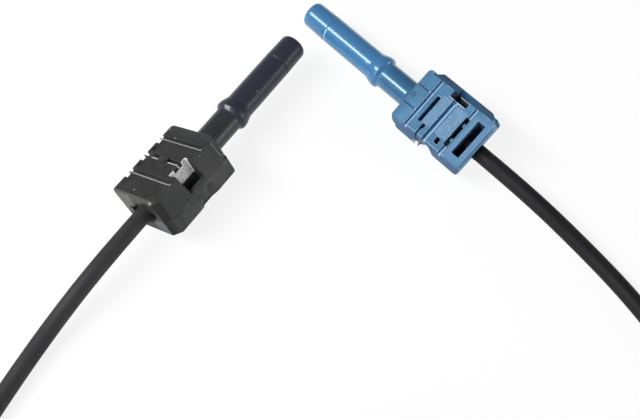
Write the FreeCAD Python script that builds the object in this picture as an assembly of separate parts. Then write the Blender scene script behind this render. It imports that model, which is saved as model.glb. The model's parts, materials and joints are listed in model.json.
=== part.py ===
import FreeCAD
import Part
import math
import os

os.makedirs("parts", exist_ok=True)
V = FreeCAD.Vector

# A jacketed plastic fibre with a hinged snap connector on each end, lying on a table. Millimetres, Z up.
# Each connector is drawn in its own frame first: x runs along the fibre from the rear face to the nose
# tip, y is to the left and z is up towards the ribbed face of the lid.

# Cable
jacket_diameter = 2.2
core_diameter = 1.0
strip_length = 5.2

# Connector block
block_length = 11.95
face_half_width = 4.2
face_height = 3.1
base_depth = 3.1
parting_height = -0.5
lid_gap = 0.04
front_corner_radius = 0.6
rear_left_cut = 0.25
rear_right_cut = 0.85
bottom_edge_cut = 0.5
rest_edge_cut = 1.16
face_edge_cut = 0.14
rear_bevel = 0.35
waist_rear = 4.4
waist_front = 8.2

# Side walls of the base, behind and ahead of the waist, and how close the waist comes to the fibre
base_left_rear = 4.15
base_left_front = 4.45
base_left_waist = (6.7, 3.4)
base_right_rear = 4.8
base_right_front = 4.3
base_right_waist = (6.4, 3.35)
base_rear_right_cut = 1.5
slotted_lid_waist = (6.7, 3.65)

# Flank on the right side of the lid, sloping out to a lip over the parting line
flank_rear = 0.9
flank_taper_end = 2.4
flank_taper_root = 4.25
flank_front = 10.95
flank_top = 3.85
lip_half_width = 5.05
lip_height = 0.42

# Nose, turned about the fibre
tail_start = 9.8
neck_radius = 1.88
root_gap = 0.02
root_profile = ((0.0, 2.5), (0.2, 2.12), (0.65, neck_radius))
collar_rear = 17.3
collar_peak_rear = 17.7
collar_peak_front = 18.3
collar_front = 19.6
collar_radius = 2.3
nose_radius = 1.93
ring_line_at = 27.9
ring_line_width = 0.16
ring_line_depth = 0.12
tip_at = 32.2
tip_radius = 1.86
tip_steps = ((0.3, 0.0), (0.08, 0.1), (0.0, 0.3))
jacket_bore_radius = 1.15

# Inside of the connector: lid cavity, base trough and the stations that hold the jacket
plate_thickness = 0.9
cavity_rear = 1.0
cavity_front = 10.7
cavity_left = 2.6
cavity_right = -2.2
trough_radius = 1.4
trough_rear = 1.6
rib_stations = (2.75, 6.1, 9.7)
rib_half_length = 0.35
rib_root = 0.15
rib_clearance = 0.12
neck_clearance = 0.17
seat_half_width = 1.8
seat_foot = -2.0

# Cable entry at the rear
mouth_radius = 1.75
mouth_depth = 0.9
entry_slot_half_width = 2.6
entry_slot_depth = 0.6
entry_slot_foot = -0.75
entry_slot_top = 0.7

# Ribbed face of the lid: each groove has an upright front wall, a flat floor and a sloping rear lip
groove_fronts = (9.9, 3.85)
groove_depth = 0.45
groove_floor = 0.42
groove_lip_drop = 0.15
groove_lip_run = 0.4
groove_right_end = -3.85
middle_front = 6.82
middle_depth = 0.6
middle_notch_rear = 5.35
middle_notch_front = 6.65
middle_notch_reach = 0.4

# Plain lid: notches in the left edge of the face (middle, length along x, depth), two shallow dimples
# beside it and a round boss in the middle groove
edge_notches = ((8.92, 0.78, 0.75), (6.55, 0.45, 0.8), (5.8, 0.75, 0.7), (2.78, 0.8, 0.7))
edge_notch_drop = 1.6
dimples = ((7.65, 3.3), (4.75, 3.35))
dimple_radius = 0.5
dimple_depth = 0.12
boss_at = (6.6, 0.5)
boss_radius = 0.8
boss_rise = 0.05

# Slotted lid: its grooves lie a little further back, a bevel runs along the left of the face, and there
# are openings through the face (centre x, centre y, length along x, width along y)
slotted_groove_shift = -0.25
bevel_inner = 3.4
bevel_drop = 1.6
square_holes = ((7.45, 2.15, 0.5, 0.7), (4.7, 2.4, 0.65, 0.9))
face_slots = ((8.33, -0.06, 0.52, 4.06), (3.53, -0.03, 0.56, 4.46))
rear_window = (1.64, -0.22, 1.16, 5.16)
hinge_slit = (7.5, 3.4, 0.3, 2.2)
slot_teeth = (-1.2, 1.2)
slot_tooth_length = 0.2
slot_tooth_half_width = 0.24
slot_tooth_top = 0.1
slot_tooth_foot = 0.7

# Marks on the front of the slotted lid: two scored lines with a small ring between them
mark_centre = (11.3, -0.25)
mark_ring_radius = 0.33
mark_ring_bore = 0.2
mark_depth = 0.1
score_line_offset = 1.45
score_line_width = 0.1
score_line_front = 11.5

# Latch window on the right side of the lid (y of its wall at the top and at the foot), its strap, and the
# hook of the base behind the strap
window_rear = 4.6
window_front = 7.45
plain_window_wall = (-2.7, -3.05)
slotted_window_wall = (-2.95, -3.25)
strap_top = 0.35
strap_inner = -4.1
hook_rear = 5.1
hook_front = 7.0
hook_root = -2.4
hook_inner = -3.6
hook_outer = -3.95
hook_top = -0.05
hook_foot = -1.3
hook_ramp = 0.35
hook_ledge_drop = 0.05

# Film hinge on the left side, in a pocket of the lid
hinge_y = 4.25
hinge_z = parting_height
hinge_bead_radius = 0.2
hinge_film = 0.2
hinge_gap = 0.04
hinge_root = 2.8
hinge_rear = 7.3
hinge_front = 8.35
hinge_pocket_wall = 3.3
hinge_pocket_top = 0.6
hinge_pocket_room = 0.1

# How far a cutter runs past the face that it opens, and how near two heights count as one
overcut = 1.0
same = 1e-6

# Where each connector lies: middle of its rear face, heading of its nose and roll to its own left.
# The rear face of the blue one leans forward from its top edge.
black_rear = (-20.841, -15.513, 4.23)
black_heading = 55.6
black_roll = 26.0
black_rear_lean = 0.0
blue_rear = (21.819, -6.843, 4.26)
blue_heading = 132.7
blue_roll = 27.0
blue_rear_lean = 13.0

# Coil of spare cable: the turns lie in columns and rows, and two bands hold them off the table
coil_centre = (4.0, -60.5)
coil_radius = 11.7
coil_columns = 3
coil_rows = 4
coil_corner_cut = 1.7
coil_entry_radius = coil_radius + jacket_diameter / 2
coil_stub_length = 11.0
tie_thickness = 0.5
tie_half_angle = 9.0
tie_angles = {"coil_tie_left": 180.0, "coil_tie_right": 0.0}

# Free runs of the cable, from each connector to the coil
lead_arc_share = 0.45
entry_y = coil_centre[1] - coil_entry_radius
low_turn_z = tie_thickness + jacket_diameter / 2
high_turn_z = low_turn_z + (coil_rows - 1) * jacket_diameter
floor_z = jacket_diameter / 2
black_lead_route = (
    black_rear,
    (-25.361, -22.114, 4.23),
    (-30.816, -29.288, 2.0),
    (-35.326, -37.108, floor_z),
    (-40.8, -48.8, floor_z),
    (-38.0, -61.0, floor_z),
    (-29.5, -70.0, floor_z),
    (-18.0, entry_y, low_turn_z),
    (coil_centre[0] - coil_stub_length, entry_y, low_turn_z),
)
blue_lead_route = (
    blue_rear,
    (27.244, -12.722, 4.26),
    (33.789, -18.928, 2.0),
    (39.454, -25.968, floor_z),
    (46.154, -37.968, floor_z),
    (47.8, -51.5, floor_z),
    (43.5, -63.2, 2.2),
    (34.5, -71.0, 5.6),
    (24.0, entry_y, high_turn_z),
    (coil_centre[0] + coil_stub_length, entry_y, high_turn_z),
)


def box(x0, x1, y0, y1, z0, z1):
    return Part.makeBox(x1 - x0, y1 - y0, z1 - z0, V(x0, y0, z0))


def rod(radius, x0, x1, y=0.0, z=0.0):
    return Part.makeCylinder(radius, x1 - x0, V(x0, y, z), V(1, 0, 0))


def prism(points, sweep):
    return Part.Face(Part.makePolygon(points + points[:1])).extrude(sweep)


def prism_along_x(outline, x0, x1):
    return prism([V(x0, y, z) for y, z in outline], V(x1 - x0, 0, 0))


def prism_across(outline, y0, y1):
    return prism([V(x, y0, z) for x, z in outline], V(0, y1 - y0, 0))


def fused(shapes):
    return shapes[0].fuse(shapes[1:]).removeSplitter()


# Plan of the block, one side after the other: a cut rear corner, a wall with or without a hollow waist, and
# a round front corner
def block_plan(front, z, sides):
    corner = front_corner_radius
    bend = corner * (1 - math.sqrt(0.5))
    edges = []

    def line(*ends):
        a, b = (V(x, y, z) for x, y in ends)
        edges.append(Part.LineSegment(a, b).toShape())

    def arc(*stops):
        a, b, c = (V(x, y, z) for x, y in stops)
        edges.append(Part.Arc(a, b, c).toShape())

    for way, (rear_wall, front_wall, waist, cut) in zip((1, -1), sides):
        rear_y = way * rear_wall
        front_y = way * front_wall
        line((0, rear_y - way * cut), (cut, rear_y))
        if waist:
            line((cut, rear_y), (waist_rear, rear_y))
            arc((waist_rear, rear_y), (waist[0], way * waist[1]), (waist_front, front_y))
            line((waist_front, front_y), (front - corner, front_y))
        else:
            line((cut, rear_y), (front - corner, front_y))
        arc((front - corner, front_y), (front - bend, front_y - way * bend), (front, front_y - way * corner))
    (left_rear, left_front, _, left_cut), (right_rear, right_front, _, right_cut) = sides
    line((front, left_front - corner), (front, corner - right_front))
    line((0, left_rear - left_cut), (0, right_cut - right_rear))
    return Part.Face(Part.Wire(Part.__sortEdges__(edges)))


def edges_at_height(shape, z):
    return [e for e in shape.Edges if abs(e.BoundBox.ZMin - z) < same and e.BoundBox.ZLength < same]


# What a leaning rear face leaves off, below the bevel of the lid
def lean_cut(angle):
    top = face_height - rear_bevel
    drop = top + base_depth + overcut
    ahead = drop * math.tan(math.radians(angle))
    outline = [(0, top), (ahead, top - drop), (-overcut, top - drop), (-overcut, top)]
    width = lip_half_width + overcut
    return prism_across(outline, -width, width)


# Neck, snap collar and nose in one turned profile, bored for the jacket and drilled for the bare fibre
def nose():
    root = block_length + root_gap
    profile = [(tail_start, 0), (tail_start, neck_radius), (root, neck_radius)]
    profile += [(root + x, r) for x, r in root_profile]
    profile += [
        (collar_rear, neck_radius),
        (collar_peak_rear, collar_radius),
        (collar_peak_front, collar_radius),
        (collar_front, nose_radius),
        (ring_line_at, nose_radius),
        (ring_line_at + ring_line_width / 2, nose_radius - ring_line_depth),
        (ring_line_at + ring_line_width, nose_radius),
    ]
    profile += [(tip_at - back, tip_radius - inward) for back, inward in tip_steps]
    profile.append((tip_at, 0))
    points = [V(x, 0, r) for x, r in profile]
    turned = Part.Face(Part.makePolygon(points + points[:1])).revolve(V(0, 0, 0), V(1, 0, 0), 360)
    bore = rod(jacket_bore_radius, tail_start - overcut, tip_at - strip_length)
    fibre_hole = rod(core_diameter / 2, tip_at - strip_length - overcut, tip_at + overcut)
    return turned.cut([bore, fibre_hole])


def cable_entry():
    w = entry_slot_half_width
    mouth = Part.makeCone(mouth_radius, jacket_bore_radius, mouth_depth, V(0, 0, 0), V(1, 0, 0))
    slot = box(-overcut, entry_slot_depth, -w, w, entry_slot_foot, entry_slot_top)
    return [mouth, slot]


def latch_hook():
    ledge = parting_height - hook_ledge_drop
    outline = [
        (hook_root, hook_foot),
        (hook_inner, hook_foot),
        (hook_outer, hook_foot + hook_ramp),
        (hook_outer, hook_top),
        (hook_inner, hook_top),
        (hook_inner, ledge),
        (hook_root, ledge),
    ]
    return prism_along_x(outline, hook_rear, hook_front)


def hinge_bead():
    bead = rod(hinge_bead_radius, hinge_rear, hinge_front, hinge_y, hinge_z)
    arm = box(hinge_rear, hinge_front, hinge_root, hinge_y, hinge_z - hinge_bead_radius, hinge_z)
    return [bead, arm]


# Cross-section of the base, with the edge that the connector lies on cut back along the bottom left
def base_section():
    foot = -base_depth
    right = -base_right_rear
    left = base_left_front
    outline = [
        (right, parting_height),
        (right, foot + bottom_edge_cut),
        (right + bottom_edge_cut, foot),
        (left - rest_edge_cut, foot),
        (left, foot + rest_edge_cut),
        (left, parting_height),
    ]
    return prism_along_x(outline, 0, block_length)


def connector_body(rear_lean):
    left = (base_left_rear, base_left_front, base_left_waist, rear_left_cut)
    right = (base_right_rear, base_right_front, base_right_waist, base_rear_right_cut)
    block = block_plan(block_length, -base_depth, (left, right)).extrude(V(0, 0, base_depth + parting_height))
    block = block.common(base_section())
    body = fused([block, latch_hook()] + hinge_bead())
    cuts = [rod(trough_radius, trough_rear, tail_start), rod(jacket_bore_radius, 0, trough_rear)]
    if rear_lean:
        cuts.append(lean_cut(rear_lean))
    body = body.cut(cuts + cable_entry())
    seats = []
    for x in rib_stations:
        rear = x - rib_half_length
        front = x + rib_half_length
        seats.append(box(rear, front, -seat_half_width, seat_half_width, seat_foot, parting_height))
    body = fused([body, nose()] + seats)
    return body.cut(rod(jacket_diameter / 2, -overcut, block_length + overcut)).removeSplitter()


# Flank as a straight bar, sloped off on top and tapered at the rear
def sloping_flank(floor):
    bar = box(flank_rear, flank_front, -lip_half_width, cavity_right, floor, face_height)
    taper = prism(
        [
            V(flank_rear, -flank_taper_root, floor - overcut),
            V(flank_taper_end, -lip_half_width, floor - overcut),
            V(flank_taper_end, -lip_half_width - overcut, floor - overcut),
            V(flank_rear, -lip_half_width - overcut, floor - overcut),
        ],
        V(0, 0, face_height - floor + 2 * overcut),
    )
    return bar.cut(taper)


def above_flank(floor):
    outline = [
        (-flank_top, face_height),
        (-lip_half_width, floor + lip_height),
        (-lip_half_width - overcut, floor + lip_height),
        (-lip_half_width - overcut, face_height + overcut),
        (-flank_top, face_height + overcut),
    ]
    return prism_along_x(outline, flank_rear, flank_front)


def lid_shell(waist):
    front = block_length - lid_gap
    floor = parting_height + lid_gap
    left = (face_half_width, face_half_width, waist, rear_left_cut)
    right = (face_half_width, face_half_width, None, rear_right_cut)
    block = block_plan(front, floor, (left, right)).extrude(V(0, 0, face_height - floor))
    rear_edge = [e for e in edges_at_height(block, face_height) if e.BoundBox.XMax < same]
    block = block.makeChamfer(rear_bevel, rear_edge)
    corners_end = max(rear_left_cut, rear_right_cut) + same
    rim = [e for e in edges_at_height(block, face_height) if e.BoundBox.XMax > corners_end]
    block = block.makeChamfer(face_edge_cut, rim)
    shell = fused([block, sloping_flank(floor)])
    inside_top = face_height - plate_thickness
    cavity = box(cavity_rear, cavity_front, cavity_right, cavity_left, floor - overcut, inside_top)
    pocket_rear = hinge_rear - hinge_pocket_room
    pocket_front = hinge_front + hinge_pocket_room
    outside = face_half_width + overcut
    pocket = box(pocket_rear, pocket_front, hinge_pocket_wall, outside, floor - overcut, hinge_pocket_top)
    return shell.cut([above_flank(floor), cavity, pocket])


def lid_ribs():
    ribs = []
    foot = parting_height + lid_gap
    top = face_height - plate_thickness + rib_root
    for x in rib_stations:
        rear = x - rib_half_length
        front = x + rib_half_length
        ribs.append(box(rear, front, cavity_right - rib_root, cavity_left + rib_root, foot, top))
    return ribs


# Film that leaves the lid and wraps the upper inner quarter of the hinge bead
def hinge_film_strip():
    inner = hinge_bead_radius + hinge_gap
    outer = inner + hinge_film
    foot = hinge_z + hinge_gap
    quarter = box(hinge_rear, hinge_front, hinge_y - outer, hinge_y, foot, foot + outer)
    wrap = rod(outer, hinge_rear, hinge_front, hinge_y, hinge_z).common(quarter)
    web = box(hinge_rear, hinge_front, hinge_root, hinge_y - inner, foot, foot + hinge_film)
    return fused([wrap, web]).cut(rod(inner, hinge_rear, hinge_front, hinge_y, hinge_z))


# Round-topped notch that lets the lid close over the jacket or the neck
def saddle(radius, x0, x1):
    return fused([rod(radius, x0, x1), box(x0, x1, -radius, radius, -2 * radius, 0)])


def groove(front, depth, right_end):
    top = face_height
    edge = front - groove_floor
    outline = [
        (front, top + overcut),
        (front, top - depth),
        (edge, top - depth),
        (edge, top - groove_lip_drop),
        (edge - groove_lip_run, top),
        (edge - groove_lip_run, top + overcut),
    ]
    return prism_across(outline, right_end, face_half_width + overcut)


def face_cuts(shift, wall_top, wall_foot):
    cuts = [groove(x + shift, groove_depth, groove_right_end) for x in groove_fronts]
    cuts.append(groove(middle_front + shift, middle_depth, wall_foot))
    notch_end = wall_top + middle_notch_reach
    notch_foot = face_height - middle_depth
    top = face_height + overcut
    cuts.append(box(middle_notch_rear, middle_notch_front, wall_foot, notch_end, notch_foot, top))
    return cuts


# Shallow round hollow, the cap of a large ball
def dimple(x, y):
    ball = (dimple_radius ** 2 + dimple_depth ** 2) / (2 * dimple_depth)
    return Part.makeSphere(ball, V(x, y, face_height - dimple_depth + ball))


def edge_cuts():
    cuts = [dimple(*place) for place in dimples]
    outside = face_half_width + overcut
    for x, length, depth in edge_notches:
        x0 = x - length / 2
        inside = face_half_width - depth
        foot = face_height - edge_notch_drop
        cuts.append(box(x0, x0 + length, inside, outside, foot, face_height + overcut))
    return cuts


def left_bevel():
    outline = [
        (bevel_inner, face_height),
        (face_half_width, face_height - bevel_drop),
        (face_half_width + overcut, face_height - bevel_drop),
        (face_half_width + overcut, face_height + overcut),
        (bevel_inner, face_height + overcut),
    ]
    return prism_along_x(outline, -overcut, block_length)


def window_cut(wall_top, wall_foot):
    outline = [
        (wall_top, face_height),
        (wall_foot, strap_top),
        (wall_foot, -base_depth),
        (strap_inner, -base_depth),
        (strap_inner, strap_top),
        (-lip_half_width - overcut, strap_top),
        (-lip_half_width - overcut, face_height + overcut),
        (wall_top, face_height + overcut),
    ]
    return prism_along_x(outline, window_rear, window_front)


def through_face(x, y, length, width):
    x0 = x - length / 2
    y0 = y - width / 2
    return box(x0, x0 + length, y0, y0 + width, 0, face_height + overcut)


def slot_tooth(y):
    x, _, length, _ = face_slots[1]
    rear = x - length / 2
    low = face_height - slot_tooth_foot
    high = face_height - slot_tooth_top
    half = slot_tooth_half_width
    return box(rear - slot_tooth_length, rear + slot_tooth_length, y - half, y + half, low, high)


def front_marks():
    x, y = mark_centre
    foot = face_height - mark_depth
    ring = Part.makeCylinder(mark_ring_radius, overcut, V(x, y, foot))
    marks = [ring.cut(Part.makeCylinder(mark_ring_bore, overcut, V(x, y, foot)))]
    half = score_line_width / 2
    start = groove_fronts[0] + slotted_groove_shift - groove_floor
    for line_y in (y + score_line_offset, y - score_line_offset):
        marks.append(box(start, score_line_front, line_y - half, line_y + half, foot, foot + overcut))
    return marks


def face_boss():
    x, y = boss_at
    return Part.makeCylinder(boss_radius, middle_depth + boss_rise, V(x, y, face_height - middle_depth))


def connector_lid(slotted, rear_lean):
    waist = slotted_lid_waist if slotted else None
    lid = fused([lid_shell(waist), hinge_film_strip()] + lid_ribs())
    shift = slotted_groove_shift if slotted else 0.0
    wall = slotted_window_wall if slotted else plain_window_wall
    cuts = cable_entry() + face_cuts(shift, *wall) + [window_cut(*wall)]
    cuts.append(saddle(jacket_diameter / 2 + rib_clearance, -overcut, cavity_front))
    cuts.append(saddle(neck_radius + neck_clearance, cavity_front - overcut, block_length))
    if rear_lean:
        cuts.append(lean_cut(rear_lean))
    if slotted:
        holes = square_holes + face_slots + (rear_window, hinge_slit)
        cuts += [through_face(*hole) for hole in holes]
        lid = lid.cut(cuts + front_marks() + [left_bevel()])
        return fused([lid] + [slot_tooth(y) for y in slot_teeth])
    return fused([lid.cut(cuts + edge_cuts()), face_boss()])


def jacket_end():
    return rod(jacket_diameter / 2, 0, tip_at - strip_length)


def fibre_end():
    return rod(core_diameter / 2, tip_at - strip_length, tip_at)


# Straight runs joined by tangent arcs, each arc as large as its two runs allow
def lead_path(route):
    points = [V(*p) for p in route]
    edges = []
    radii = []
    start = points[0]
    for before, corner, after in zip(points, points[1:], points[2:]):
        back = before - corner
        ahead = after - corner
        turn = math.pi - back.getAngle(ahead)
        reach = lead_arc_share * min(back.Length, ahead.Length)
        radius = reach / math.tan(turn / 2)
        back.normalize()
        ahead.normalize()
        inward = back + ahead
        inward.normalize()
        middle = corner + inward * (radius / math.cos(turn / 2) - radius)
        edges.append(Part.LineSegment(start, corner + back * reach).toShape())
        start = corner + ahead * reach
        edges.append(Part.Arc(corner + back * reach, middle, start).toShape())
        radii.append(round(radius, 1))
    edges.append(Part.LineSegment(start, points[-1]).toShape())
    return Part.Wire(edges), radii


def cable_lead(route):
    path, radii = lead_path(route)
    ring = Part.makeCircle(jacket_diameter / 2, V(*route[0]), V(*route[1]) - V(*route[0]))
    tube = path.makePipeShell([Part.Wire(ring)], True, False)
    expected = math.pi * jacket_diameter ** 2 / 4 * path.Length
    print("lead length", round(path.Length, 1), "bend radii", radii)
    print("  volume", round(tube.Volume, 2), "of section times length", round(expected, 2))
    return tube


# Outline of the bundle of turns in the XZ plane, about the coil's own axis
def coil_section(margin):
    half_width = coil_columns * jacket_diameter / 2 + margin
    bottom = tie_thickness - margin
    top = tie_thickness + coil_rows * jacket_diameter + margin
    corner = coil_corner_cut + margin * (2 - math.sqrt(2))
    bar = Part.makeBox(2 * half_width, overcut, top - bottom, V(coil_radius - half_width, 0, bottom))
    long_edges = [e for e in bar.Edges if e.BoundBox.YLength > overcut - same]
    bar = bar.makeChamfer(corner, long_edges)
    front = min(bar.Faces, key=lambda f: f.CenterOfMass.y)
    return Part.Face(front.OuterWire)


def cable_coil():
    turns = coil_section(0).revolve(V(0, 0, 0), V(0, 0, 1), 360)
    low = V(-coil_stub_length, -coil_entry_radius, low_turn_z)
    high = V(0, -coil_entry_radius, high_turn_z)
    stubs = [Part.makeCylinder(jacket_diameter / 2, coil_stub_length, p, V(1, 0, 0)) for p in (low, high)]
    coil = fused([turns] + stubs)
    coil.translate(V(*coil_centre, 0))
    return coil


def coil_tie(angle):
    band = coil_section(tie_thickness).cut(coil_section(0))
    band.rotate(V(0, 0, 0), V(0, 0, 1), angle - tie_half_angle)
    tie = band.Faces[0].revolve(V(0, 0, 0), V(0, 0, 1), 2 * tie_half_angle)
    tie.translate(V(*coil_centre, 0))
    return tie


def attitude(heading, roll):
    return FreeCAD.Rotation(V(0, 0, 1), heading).multiply(FreeCAD.Rotation(V(1, 0, 0), -roll))


def laid_down(shape, rear, heading, roll):
    placed = shape.copy()
    placed.Placement = FreeCAD.Placement(V(*rear), attitude(heading, roll))
    return placed


def hinge_axis_point(rear, heading, roll):
    middle = V((hinge_rear + hinge_front) / 2, hinge_y, hinge_z)
    return V(*rear) + attitude(heading, roll).multVec(middle)


def write(name, shape):
    b = shape.BoundBox
    corners = [round(v, 2) for v in (b.XMin, b.XMax, b.YMin, b.YMax, b.ZMin, b.ZMax)]
    print(name, "valid", shape.isValid(), "solids", len(shape.Solids), "box", corners)
    shape.exportStep("parts/" + name + ".step")


def main():
    ends = (
        ("black", (black_rear, black_heading, black_roll), False, black_rear_lean),
        ("blue", (blue_rear, blue_heading, blue_roll), True, blue_rear_lean),
    )
    for colour, place, slotted, rear_lean in ends:
        write(colour + "_connector_body", laid_down(connector_body(rear_lean), *place))
        write(colour + "_connector_lid", laid_down(connector_lid(slotted, rear_lean), *place))
        write(colour + "_jacket_end", laid_down(jacket_end(), *place))
        write(colour + "_fibre_end", laid_down(fibre_end(), *place))
        print(colour, "hinge axis through", [round(v, 4) for v in hinge_axis_point(*place)])
    write("cable_black_lead", cable_lead(black_lead_route))
    write("cable_blue_lead", cable_lead(blue_lead_route))
    write("cable_coil", cable_coil())
    for name, angle in tie_angles.items():
        write(name, coil_tie(angle))


main()
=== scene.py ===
import json
import math

import bmesh
import bpy
from mathutils import Matrix, Vector
from mathutils.geometry import tessellate_polygon
from mathutils.kdtree import KDTree


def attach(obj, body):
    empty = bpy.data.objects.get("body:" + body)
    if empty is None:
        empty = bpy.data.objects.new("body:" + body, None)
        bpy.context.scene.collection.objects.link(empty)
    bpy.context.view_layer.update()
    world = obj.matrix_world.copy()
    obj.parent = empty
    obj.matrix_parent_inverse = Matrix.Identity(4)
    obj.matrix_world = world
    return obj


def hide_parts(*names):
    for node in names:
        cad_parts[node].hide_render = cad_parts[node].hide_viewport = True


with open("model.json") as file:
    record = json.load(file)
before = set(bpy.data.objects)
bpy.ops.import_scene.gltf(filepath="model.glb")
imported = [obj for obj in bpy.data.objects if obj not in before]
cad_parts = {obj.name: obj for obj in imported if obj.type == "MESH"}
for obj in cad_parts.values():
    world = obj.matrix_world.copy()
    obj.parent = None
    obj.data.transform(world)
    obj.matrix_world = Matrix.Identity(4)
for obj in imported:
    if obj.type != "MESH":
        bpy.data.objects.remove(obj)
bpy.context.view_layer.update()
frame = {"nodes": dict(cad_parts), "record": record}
cadNodes = frame["nodes"]
record = frame["record"]
scene = bpy.context.scene
mm = 0.001
print("frame loaded:", len(cadNodes), "nodes")


# camera, at the photo's viewing angle

cameraSetup = {
    "aim": (1.019 * mm, -12.693 * mm, 0.0),  # point of the table in the middle of the picture
    "distance": 108.0 * mm,
    "elevation": 61.85,
    "focalPixels": 825.8,
    "pictureWidth": 640,
    "sensorWidth": 36.0,
    "clip": (1 * mm, 10),
}


def makeCamera(setup):
    data = bpy.data.cameras.new("photoCamera")
    data.sensor_width = setup["sensorWidth"]
    data.lens = setup["focalPixels"] / setup["pictureWidth"] * setup["sensorWidth"]
    data.clip_start, data.clip_end = setup["clip"]
    camera = bpy.data.objects.new("photoCamera", data)
    elevation = math.radians(setup["elevation"])
    back = Vector((0, -math.cos(elevation), math.sin(elevation)))
    camera.location = Vector(setup["aim"]) + back * setup["distance"]
    camera.rotation_euler = (math.pi / 2 - elevation, 0, 0)
    scene.collection.objects.link(camera)
    scene.camera = camera


makeCamera(cameraSetup)
print("camera set")


# small helpers for node trees

def feed(tree, socket, value):
    if isinstance(value, bpy.types.NodeSocket):
        tree.links.new(value, socket)
    else:
        socket.default_value = value


def addNode(tree, kind, inputs=None, **settings):
    node = tree.nodes.new(kind)
    for name, value in settings.items():
        setattr(node, name, value)
    for name, value in (inputs or {}).items():
        feed(tree, node.inputs[name], value)
    return node


def calc(tree, operation, a, b=0.0):
    return addNode(tree, "ShaderNodeMath", {0: a, 1: b}, operation=operation).outputs[0]


def vectorCalc(tree, operation, a, b=(0, 0, 0)):
    return addNode(tree, "ShaderNodeVectorMath", {0: a, 1: b}, operation=operation).outputs["Vector"]


def mixColour(tree, share, a, b):
    node = addNode(tree, "ShaderNodeMix", {0: share, 6: a, 7: b}, data_type="RGBA")
    return node.outputs[2]


def mixValue(tree, share, a, b):
    return addNode(tree, "ShaderNodeMix", {0: share, 2: a, 3: b}, data_type="FLOAT").outputs[0]


def noise(tree, vector, scale, detail=2.0):
    inputs = {"Vector": vector, "Scale": scale, "Detail": detail}
    return addNode(tree, "ShaderNodeTexNoise", inputs).outputs["Fac"]


def ramp(tree, value, low, high):
    inputs = {"Value": value, "From Min": low, "From Max": high}
    return addNode(tree, "ShaderNodeMapRange", inputs, interpolation_type="SMOOTHSTEP").outputs["Result"]


def bump(tree, height, depth):
    return addNode(tree, "ShaderNodeBump", {"Height": height, "Distance": depth}).outputs["Normal"]


# the piece's own coordinates in millimetres
def millimetres(tree):
    coordinates = tree.nodes.new("ShaderNodeTexCoord").outputs["Object"]
    inputs = {"Vector": coordinates, "Scale": (1 / mm, 1 / mm, 1 / mm)}
    return addNode(tree, "ShaderNodeMapping", inputs).outputs["Vector"]


def newGroup(name, kind, inputs, outputs):
    tree = bpy.data.node_groups.new(name, kind)
    for way, sockets in (("INPUT", inputs), ("OUTPUT", outputs)):
        for label, holds in sockets.items():
            tree.interface.new_socket(name=label, in_out=way, socket_type="NodeSocket" + holds)
    given = tree.nodes.new("NodeGroupInput").outputs
    result = tree.nodes.new("NodeGroupOutput").inputs
    return tree, given, result


def useGroup(tree, group, inputs):
    node = tree.nodes.new("ShaderNodeGroup")
    node.node_tree = group
    for name, value in inputs.items():
        feed(tree, node.inputs[name], value)
    return node.outputs


def newMaterial(name):
    material = bpy.data.materials.new(name)
    material.use_nodes = True
    return material, material.node_tree, material.node_tree.nodes["Principled BSDF"].inputs


# shader effects that several finishes share: moulded grain, painted highlights on rounded edges and a
# soft-edged box

grainShape = {
    "grainDetail": 3.0, "mottleDetail": 4.0, "mottleRange": (0.35, 0.65),
    "speckRange": (0.16, 0.08),  # from the rim of a speck to where it is full
    "speckPick": (0.86, 0.9),  # only a few cells hold a speck
    "middle": 0.5,
}


def makeMouldedGrain(shape):
    inputs = {"Vector": "Vector", "Grain Scale": "Float", "Mottle Scale": "Float", "Speck Scale": "Float"}
    outputs = {"Grain": "Float", "Mottle": "Float", "Specks": "Float"}
    tree, given, result = newGroup("mouldedGrain", "ShaderNodeTree", inputs, outputs)
    vector = given["Vector"]
    feed(tree, result["Grain"], noise(tree, vector, given["Grain Scale"], shape["grainDetail"]))
    mottle = noise(tree, vector, given["Mottle Scale"], shape["mottleDetail"])
    feed(tree, result["Mottle"], ramp(tree, mottle, *shape["mottleRange"]))
    cells = addNode(tree, "ShaderNodeTexVoronoi", {"Vector": vector, "Scale": given["Speck Scale"]}).outputs
    dots = ramp(tree, cells["Distance"], *shape["speckRange"])
    pick = addNode(tree, "ShaderNodeSeparateColor", {"Color": cells["Color"]}).outputs["Red"]
    feed(tree, result["Specks"], calc(tree, "MULTIPLY", dots, ramp(tree, pick, *shape["speckPick"])))
    return tree


# painted highlight: the faces of the rounded edges are lightened by a share
def makeEdgeHighlight():
    inputs = {"Edge": "Float", "Nose": "Float", "Share": "Float", "Nose Share": "Float"}
    tree, given, result = newGroup("edgeHighlight", "ShaderNodeTree", inputs, {"Highlight": "Float"})
    share = mixValue(tree, given["Nose"], given["Share"], given["Nose Share"])
    feed(tree, result["Highlight"], calc(tree, "MULTIPLY", given["Edge"], share))
    return tree


def makeBoxMask():
    inputs = {"Vector": "Vector", "Centre": "Vector", "Half Size": "Vector", "Softness": "Float"}
    tree, given, result = newGroup("boxMask", "ShaderNodeTree", inputs, {"Mask": "Float"})
    away = vectorCalc(tree, "ABSOLUTE", vectorCalc(tree, "SUBTRACT", given["Vector"], given["Centre"]))
    past = vectorCalc(tree, "SUBTRACT", away, given["Half Size"])
    axes = addNode(tree, "ShaderNodeSeparateXYZ", {0: past}).outputs
    far = calc(tree, "MAXIMUM", calc(tree, "MAXIMUM", axes[0], axes[1]), axes[2])
    feed(tree, result["Mask"], ramp(tree, far, given["Softness"], 0.0))
    return tree


mouldedGrain = makeMouldedGrain(grainShape)
edgeHighlight = makeEdgeHighlight()
boxMask = makeBoxMask()


def useGrain(tree, vector, finish):
    inputs = {
        "Vector": vector, "Grain Scale": finish["grainScale"],
        "Mottle Scale": finish["mottleScale"], "Speck Scale": finish["speckScale"],
    }
    return useGroup(tree, mouldedGrain, inputs)


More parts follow.
